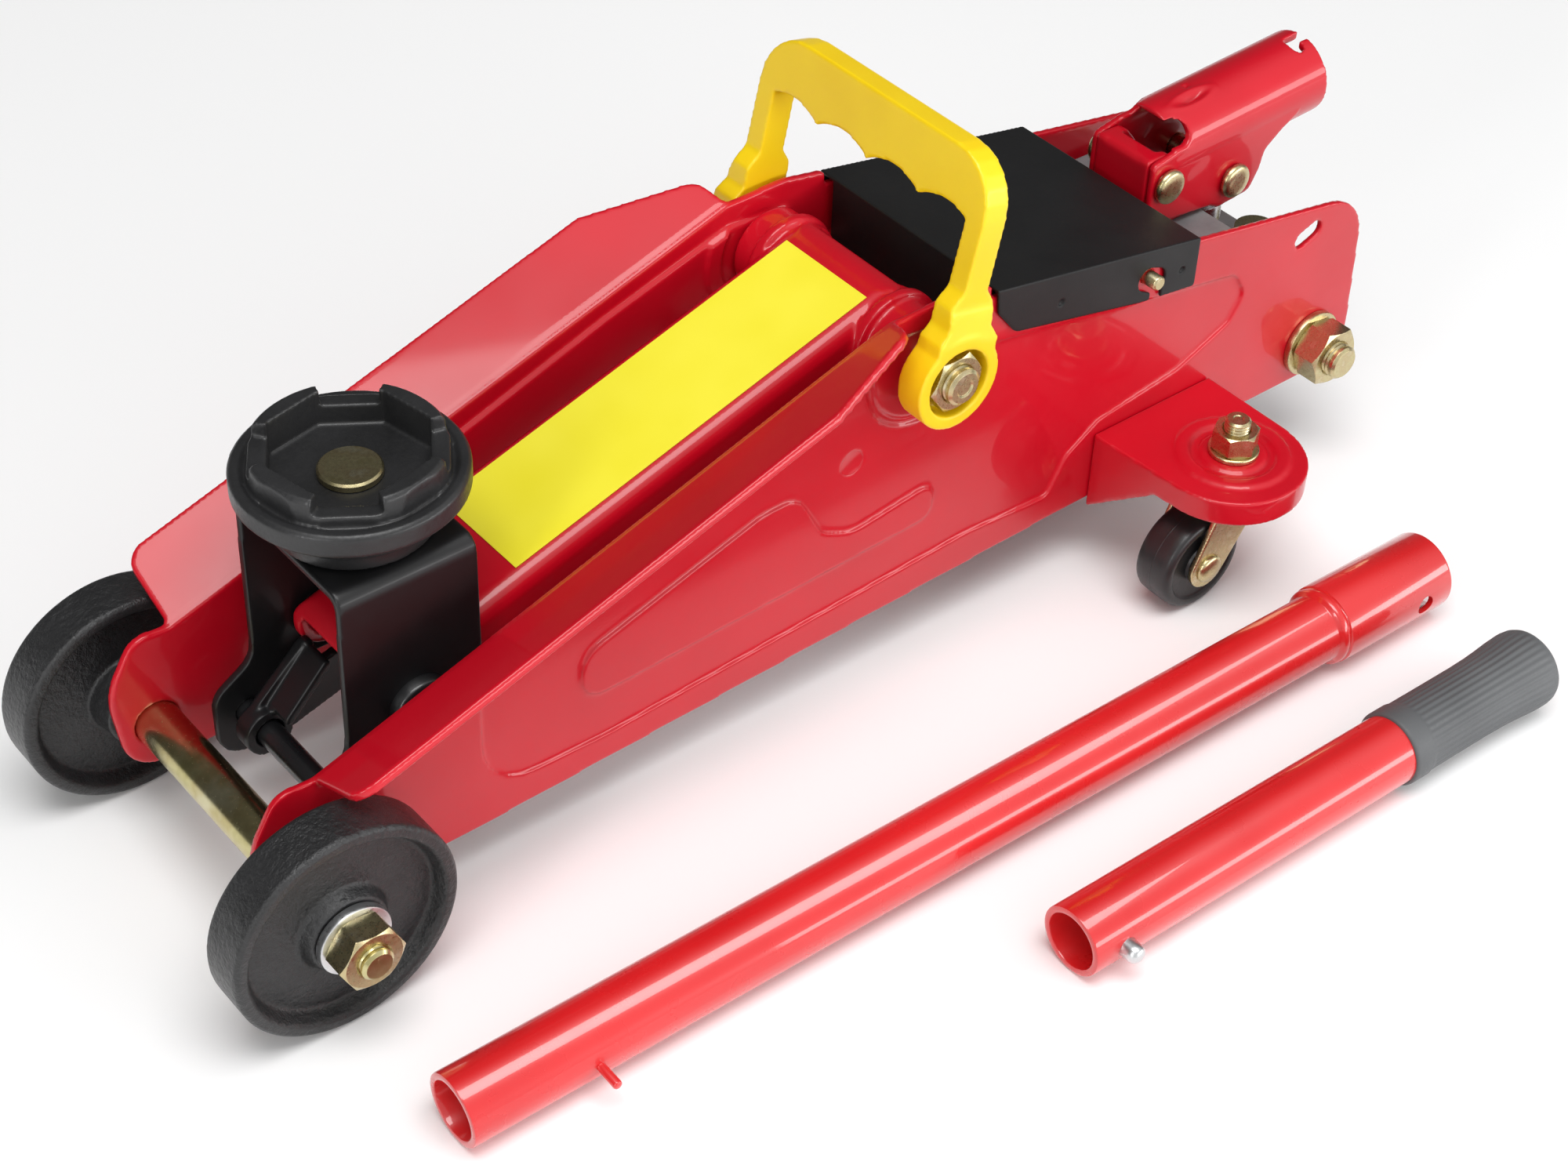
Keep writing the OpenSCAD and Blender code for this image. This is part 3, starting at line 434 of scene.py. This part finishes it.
def weld(ob, dist=1e-6):
    bm = bmesh.new()
    bm.from_mesh(ob.data)
    bmesh.ops.remove_doubles(bm, verts=bm.verts, dist=dist)
    bmesh.ops.recalc_face_normals(bm, faces=bm.faces)
    bm.to_mesh(ob.data)
    bm.free()


def hex_nut(origin, direction, flats, bore, height, turn=0.0, steps=96):
    """A hexagon nut whose corners are chamfered at 30 degrees at both ends."""
    u, v, w = axes_for(direction)
    verts = []
    inner = flats / 2 * 0.985
    for i in range(steps):
        a = 2 * math.pi * i / steps
        d = u * math.cos(a + turn) + v * math.sin(a + turn)
        k = ((a + math.pi / 6) % (math.pi / 3)) - math.pi / 6
        edge = flats / 2 / math.cos(k)
        drop = max(0.0, (edge - inner)) * math.tan(math.radians(30))
        section = [(bore, 0.6), (bore + 0.6, 0), (inner, 0), (edge, drop + 0.05), (edge, height - drop - 0.05),
                   (inner, height), (bore + 0.6, height), (bore, height - 0.6)]
        for r, h in section:
            verts.append(Vector(origin) + d * (r * MM) + w * (h * MM))
    return verts, ring_faces(steps, len(section))


def turned(name, node, profile, origin, direction, mat, steps=96, sharp=32):
    """The visible piece of a node, turned from a profile; edges over sharp degrees stay crisp."""
    ob = mesh_object(name, *revolve(profile, origin, direction, steps))
    weld(ob)
    ob.data.set_sharp_from_angle(angle=math.radians(sharp))
    finish_piece(ob, node, mat)


# ---- pressed and cast pieces ----

PLATE_OUT = 40       # outer face of each side plate, mm from the middle plane
PRESS_DEPTH = 1.5    # how far the CAD's pressed panels step in
fine = 1.0
for n in ("side_plate_left", "side_plate_right"):
    plate = soften(n, 0.75 * fine, 4, RED)
    # the pressed step is shallower in the finished sheet than in the CAD
    for vertex in plate.data.vertices:
        y = abs(vertex.co.y - AXLE.y) / MM
        if y < PLATE_OUT:
            vertex.co.y += math.copysign(min(PRESS_DEPTH, PLATE_OUT - y) * 0.3 * MM, vertex.co.y - AXLE.y)
for n in ("caster_bracket_left", "caster_bracket_right"):
    soften(n, 0.65 * fine, 4, RED)
soften("lift_arm", 0.7 * fine, 4, RED)
socket = soften("handle_socket", 0.55 * fine, 4, RED)
# thumb recess, crease and punched dimple in the socket's top, behind its front opening
for vertex in socket.data.vertices:
    x, y, z = ((vertex.co - at(0, 0, 0)) / MM)
    if z < 130 or not -376 < x < -352:
        continue
    along, across = (x + 364.5) / 4.8, (y - 3.6) / 1.4
    groove = math.exp(-along ** 2 - across ** 2)
    rim = math.exp(-((along ** 2 + across ** 2) ** 0.5 - 1.9) ** 2 / 0.35)
    dimple = math.exp(-((x + 367.5) / 1.0) ** 2 - ((y + 1.8) / 1.0) ** 2)
    vertex.co.z -= (2.0 * groove - 0.3 * rim + 0.9 * dimple) * MM
soften("socket_yoke", 0.6 * fine, 4, RED)
soften("saddle", 0.5 * fine, 4, SADDLE)
soften("saddle_bracket", 0.6 * fine, 4, BLACK)
soften("levelling_link", 0.6 * fine, 3, BLACK)
soften("carry_handle", 0.6 * fine, 6, YELLOW)
for n in ("front_wheel_left", "front_wheel_right"):
    soften(n, 0.6 * fine, 3, WHEEL)
soften("cover", 0.35 * fine, 3, COVER)
for n in ("caster_fork_left", "caster_fork_right"):
    soften(n, 0.45 * fine, 3, GOLD)
soften("base_block", 0.9 * fine, 4, BLOCK)
soften("reservoir", 0.6 * fine, 3, RED)
soften("pump_piston", 0.5 * fine, 3, STEEL)


# ---- turned pieces and fasteners ----

def pair(name, node, make, mat, sharp=28):
    """One object made of the same turned shape on each side of the jack; make gets +1 or -1."""
    ob = mesh_object(name, *merge([make(1), make(-1)]))
    weld(ob)
    ob.data.set_sharp_from_angle(angle=math.radians(sharp))
    finish_piece(ob, node, mat)


def span(node):
    """|y| of the inner and outer faces of a mirrored pair, in mm from the middle plane."""
    ys = [abs(v.co.y - AXLE.y) / MM for v in nodes[node].data.vertices]
    return min(ys), max(ys)


def nut_pair(name, node, x, z, flats, bore, turn=0.0):
    a, b = span(node)
    pair(name, node, lambda s: hex_nut(at(x, s * a, z), (0, s, 0), flats, bore, b - a, turn), GOLD)


def washer_profile(bore, r, h0, h1, edge=0.5):
    return [(bore, h0 + edge), (bore + edge, h0), (r - edge, h0), (r - 0.15, h0 + 0.15), (r, h0 + edge),
            (r, h1 - edge), (r - 0.15, h1 - 0.15), (r - edge, h1), (bore + edge, h1), (bore, h1 - edge)]


def washer_pair(name, node, x, z, bore, r, mat):
    a, b = span(node)
    pair(name, node, lambda s: revolve(washer_profile(bore, r, a, b), at(x, 0, z), (0, s, 0)), mat)


def rod_profile(r, h0, h1, threads, pitch=1.5, depth=0.55, chamfer=0.9):
    """Half section of a rod from h0 to h1 with thread ridges over each (from, to) of threads."""
    prof = [(0, h0), (0.5, h0), (r - chamfer, h0), (r, h0 + chamfer)]
    for low, high in threads:
        h = low
        while h + pitch <= high:
            prof += [(r, h), (r - depth, h + pitch * 0.45), (r - depth, h + pitch * 0.55), (r, h + pitch * 0.97)]
            h += pitch
    return prof + [(r, h1 - chamfer), (r - chamfer, h1), (0.5, h1), (0, h1)]


Y = (0, 1, 0)
nut_face = span("front_nuts")[0]
thread_end = [(5, nut_face), (5, nut_face + 0.5)]
for step in range(7):
    h = nut_face + 0.7 + 1.5 * step
    if h + 1.5 < 79.4:
        thread_end += [(4.5, h + 0.7), (5, h + 1.45)]
thread_end += [(5, 79.6), (4.1, 80.5), (0, 80.5)]
half_axle = [(7, nut_face - 0.6), (6.4, nut_face)] + thread_end
turned("axle_rod", "front_axle", [(r, -h) for r, h in reversed(half_axle)] + half_axle, at(0, 0, 35), Y, GOLD_ROD)
turned("tie_rod", "rear_tie_bolt", rod_profile(6, -57, 57, [(-56.4, -43), (43, 56.4)]), at(-401, 0, 45), Y, GOLD)
turned("shaft_rod", "arm_shaft",
       [(0, -56.3), (2.6, -56.3), (3.1, -56.8), (5, -56.8), (6, -55.9), (6, -47.4), (7, -47.4), (7, 47.4),
        (6, 47.4), (6, 49), (5.5, 49.6), (6, 50.2), (6, 50.5), (5.5, 51.1), (6, 51.7), (6, 52), (5.5, 52.6),
        (6, 53.2), (6, 53.5), (5.5, 54.1), (6, 54.7), (6, 55.9), (5, 56.8), (3.1, 56.8), (2.6, 56.3), (0, 56.3)],
       at(-221.5, 0, 113.5), Y, GOLD)
nut_pair("front_axle_nuts", "front_nuts", 0, 35, 18, 5.0, 0.2)
nut_pair("tie_nuts", "rear_tie_nuts", -401, 45, 19, 6.0, 0.1)
nut_pair("shaft_nuts", "arm_shaft_nuts", -221.5, 113.5, 17.4, 6.0, 0.35)
washer_pair("axle_washers", "front_washers", 0, 35, 6.4, 11.2, SILVER)
washer_pair("tie_washers", "rear_tie_washers", -401, 45, 6.0, 12, GOLD)

# the casters' swivel axes stand at (cx, +-cy)
cx, cy = -327.5, 74.0
pair("caster_bolts_turned", "caster_bolts",
     lambda s: revolve([(0, 40.5), (7.4, 40.5), (8, 41.1), (8, 43.2), (7.6, 43.7), (5, 43.7), (5, 52.4), (4.2, 53.2),
                        (4.2, 61.4), (3.8, 61.9), (4.2, 62.3), (4.2, 62.5), (3.8, 63.0), (4.2, 63.4), (4.2, 63.6),
                        (3.8, 64.1), (4.2, 64.5), (4.2, 64.8), (3.5, 65.5), (1.8, 65.5), (1.5, 65.2), (0, 65.2)],
                       at(cx, s * cy, 0), (0, 0, 1)), GOLD)
pair("caster_washers_turned", "caster_washers",
     lambda s: revolve(washer_profile(4.4, 8.3, 52.5, 54.3, 0.4), at(cx, s * cy, 0), (0, 0, 1)), GOLD)
pair("caster_nuts_hex", "caster_nuts", lambda s: hex_nut(at(cx, s * cy, 54.3), (0, 0, 1), 13.6, 4.2, 7.4, 0.25), GOLD)


def caster_wheel(side, node, rivet):
    r = 17.2
    hub = at(cx + 14.5, side * cy, r)
    half = [(3.2, 7.2), (5.8, 7.2), (6.4, 6.9), (6.8, 6.0), (12.6, 6.0), (13.2, 6.3), (13.7, 7.0), (14.3, 7.2),
            (15.6, 7.1), (16.5, 6.5), (17.0, 5.4), (17.15, 3.0), (17.15, 0.25), (17.2, 0.2)]
    prof = [(a, -h) for a, h in half] + [(a, h) for a, h in reversed(half)]
    turned(node + "_turned", node, prof, hub, Y, CASTER, steps=128)
    head = [(0, 11.7), (2.4, 11.65), (3.9, 11.3), (4.7, 10.8), (5, 10.2), (5, 9.75), (3, 9.7)]
    prof = [(a, -h) for a, h in head] + [(a, h) for a, h in reversed(head)]
    turned(rivet + "_turned", rivet, prof, hub, Y, GOLD, steps=64, sharp=50)


caster_wheel(1, "caster_wheel_left", "caster_rivet_left")
caster_wheel(-1, "caster_wheel_right", "caster_rivet_right")


def disc_rivet(node, x, z):
    head = [(0, 17.35), (2.6, 17.4), (4.6, 17.2), (5.5, 16.8), (5.9, 16.2), (6, 15.6), (5.9, 14.9), (5.5, 14.6),
            (4, 14.6)]
    prof = [(a, -h) for a, h in head] + [(a, h) for a, h in reversed(head)]
    turned(node + "_turned", node, prof, at(x, 0, z), Y, GOLD, sharp=50)


disc_rivet("socket_pivot_rivet", -346.5, 114.5)
disc_rivet("pump_rivet", -378.5, 105)
pair("cover_studs", "cover_screws",
     lambda s: revolve([(0, 36), (3.6, 36), (4, 36.4), (4, 37), (2.5, 37), (2.5, 44.9), (2.3, 45.3),
                        (1.9, 45.6), (0, 45.6)], at(-313.6, 0, 106.6), (0, s, 0)), GOLD)
turned("pivot_pin_turned", "saddle_pivot_pin",
       [(0, -31.2), (8.2, -31.2), (9.0, -30.9), (9.5, -30.1), (9.5, -27), (6, -27), (6, 27), (9.5, 27), (9.5, 30.1),
        (9.0, 30.9), (8.2, 31.2), (0, 31.2)], at(-49, 0, 63.5), Y, BLACK_PIN, sharp=50)
turned("rod_turned", "link_front_rod",
       [(0, -30.5), (5.8, -30.5), (6.4, -30.1), (6.5, -29.6), (6.5, -27), (4, -27), (4, 27), (6.5, 27), (6.5, 29.6),
        (6.4, 30.1), (5.8, 30.5), (0, 30.5)], at(-22.5, 0, 37), Y, BLACK_PIN, sharp=50)
# the riveted and painted-over left end of the link's rear pin
turned("pin_head", "link_rear_pin",
       [(0, -38.6), (5.4, -38.6), (5.8, -38.3), (5.8, -38), (4, -38), (4, 38), (5.8, 38), (5.8, 38.45), (5.5, 38.75),
        (5.0, 38.8), (4.7, 38.62), (0, 38.62)], at(-195, 0, 87), Y, RED_EDGE, sharp=50)


# ---- return springs: coils that stretch between the chassis and the foot of the arm ----

def spring(side):
    x0, x1, y, z = -321.5, -253.1, side * 32.8, 81.33
    turns, r, wire, steps, ring = 34, 1.85, 0.5, 14, 8
    verts, faces = [], []
    total = turns * steps
    for i in range(total + 1):
        t = i / total
        a = 2 * math.pi * turns * t
        c = at(x0 + (x1 - x0) * t, y + r * math.cos(a), z + r * math.sin(a))
        tangent = Vector(((x1 - x0) / (2 * math.pi * turns), -r * math.sin(a), r * math.cos(a))).normalized()
        u = Vector((0, math.cos(a), math.sin(a)))
        w = tangent.cross(u)
        for k in range(ring):
            b = 2 * math.pi * k / ring
            verts.append(c + (u * math.cos(b) + w * math.sin(b)) * (wire * MM))
    for i in range(total):
        for k in range(ring):
            k2 = (k + 1) % ring
            faces.append((i * ring + k, i * ring + k2, (i + 1) * ring + k2, (i + 1) * ring + k))
    faces.append(tuple(range(ring)))
    faces.append(tuple(total * ring + k for k in range(ring)))
    return verts, faces


springs = mesh_object("spring_coils", *merge([spring(1), spring(-1)]))
set_material(springs, STEEL)
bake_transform(springs)
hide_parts("return_springs")


# ---- handle tubes ----

def tube_axes(x, y, rise, reach, turn=1.2):
    """Front end of a tube on the floor, its direction to the rear, and the level direction to its left."""
    b, t = math.asin(rise / reach), math.radians(turn)
    back = Vector((-math.cos(b) * math.cos(t), math.cos(b) * math.sin(t), math.sin(b)))
    return at(x, y, 11.2), back, Vector((math.sin(t), math.cos(t), 0))


def drill(ob, place, direction, r):
    """Cuts one round hole of radius r mm from place along direction."""
    tool = mesh_object("tool", *revolve([(0, 0), (r, 0), (r, 20), (0, 20)], place, direction, 48))
    weld(tool)
    m = ob.modifiers.new("hole", "BOOLEAN")
    m.operation = "DIFFERENCE"
    m.object = tool
    m.solver = "EXACT"
    me = evaluated_copy(ob, ob.name)
    ob.modifiers.clear()
    ob.data = me
    bpy.data.objects.remove(tool)
    me.set_sharp_from_angle(angle=math.radians(32))


start, back, left = tube_axes(2, 115.6, 2.1, 328.2)
v, f = revolve([(8.9, 0.5), (9.05, 0.15), (9.4, 0), (10.5, 0), (11.0, 0.2), (11.2, 0.7), (11.2, 324.0),
                (11.35, 324.3), (12.3, 324.9), (12.8, 325.5), (12.9, 326.2), (12.85, 326.9), (12.68, 327.4),
                (12.62, 327.7), (12.8, 327.9), (13.2, 328.1), (13.3, 328.6), (13.3, 373.5), (13.1, 374.2),
                (12.7, 374.5), (11.9, 374.5), (11.6, 374.35), (11.45, 374.0), (11.45, 331.2), (8.9, 329.2)],
               start, back, 160)
tube = mesh_object("lower_tube_turned", v, f)
weld(tube)
drill(tube, start + back * (362.1 * MM), left, 3.3)
drill(tube, start + back * (40 * MM), left, 1.4)
finish_piece(tube, "lower_tube", RED_TUBE)
turned("tube_pin", "lower_tube_pin", [(0, 7.4), (1.4, 7.4), (1.4, 18.7), (1.2, 19.1), (0.8, 19.3), (0, 19.3)],
       start + back * (40 * MM), left, RED_TUBE, steps=40, sharp=50)

start, back, left = tube_axes(-169.3, 171.1, 2.0, 190.5)
v, f = revolve([(8.9, 0.5), (9.05, 0.15), (9.4, 0), (10.5, 0), (11.0, 0.2), (11.2, 0.7), (11.2, 192), (8.9, 192)],
               start, back, 160)
tube = mesh_object("upper_tube_turned", v, f)
weld(tube)
drill(tube, start + back * (11.7 * MM), left, 3.16)
finish_piece(tube, "upper_tube", RED_TUBE)
turned("button_turned", "snap_button",
       [(0, 4), (4.2, 4), (4.2, 5.4), (3.1, 5.4), (3.1, 13.4), (3.0, 14.4), (2.7, 15.4), (2.1, 16.1), (1.2, 16.5),
        (0, 16.6)],
       start + back * (11.7 * MM), left, SILVER, steps=64, sharp=50)


def grip_surface(h0, h1, steps=216, ribs=36):
    """Moulded grip: smooth front collar, then fine ribs along a waisted body that ends full and rounded."""
    u, v, w = left, back.cross(left), back
    outline = [(h0, 11.2), (h0, 11.8), (h0 + 0.5, 12.2), (h0 + 1.2, 12.3), (h0 + 7.0, 12.3), (h0 + 7.7, 12.1),
               (h0 + 8.2, 11.95), (h0 + 9.5, 11.9), (h0 + 22, 11.88), (h0 + 36, 11.9), (h0 + 44, 12.1),
               (h0 + 50, 12.5), (h0 + 55, 12.95), (h0 + 59, 13.15), (h0 + 61, 13.1), (h0 + 62.7, 12.85),
               (h0 + 64, 12.3), (h0 + 64.9, 11.4), (h0 + 65.4, 10.2), (h0 + 65.5, 8.8)]
    closing = [(h1 + 3.9, 7.0), (h1 + 3.9, 0.01), (h1 + 3.2, 0.01), (h1 + 3.2, 8.6), (h1, 8.6), (h1, 11.2)]
    prof = outline + closing
    verts = []
    for i in range(steps):
        a = 2 * math.pi * i / steps
        rib = 0.5 - 0.5 * math.cos(ribs * a)
        for k, (h, r) in enumerate(prof):
            deep = 0.0
            if k < len(outline):
                deep = 0.32 * min(1, max(0, (h - h0 - 8.2) / 1.5)) * min(1, max(0, (h0 + 62.5 - h) / 2))
            rr = r - deep * (1 - rib)
            verts.append(start + (u * math.cos(a) + v * math.sin(a)) * (rr * MM) + w * (h * MM))
    return verts, ring_faces(steps, len(prof))


grip = mesh_object("grip_moulded", *grip_surface(130.5, 192.0))
weld(grip)
grip.data.set_sharp_from_angle(angle=math.radians(55))
finish_piece(grip, "grip", GRIP)

make_camera()
make_studio()
scene = bpy.context.scene
scene.view_settings.view_transform = "Standard"
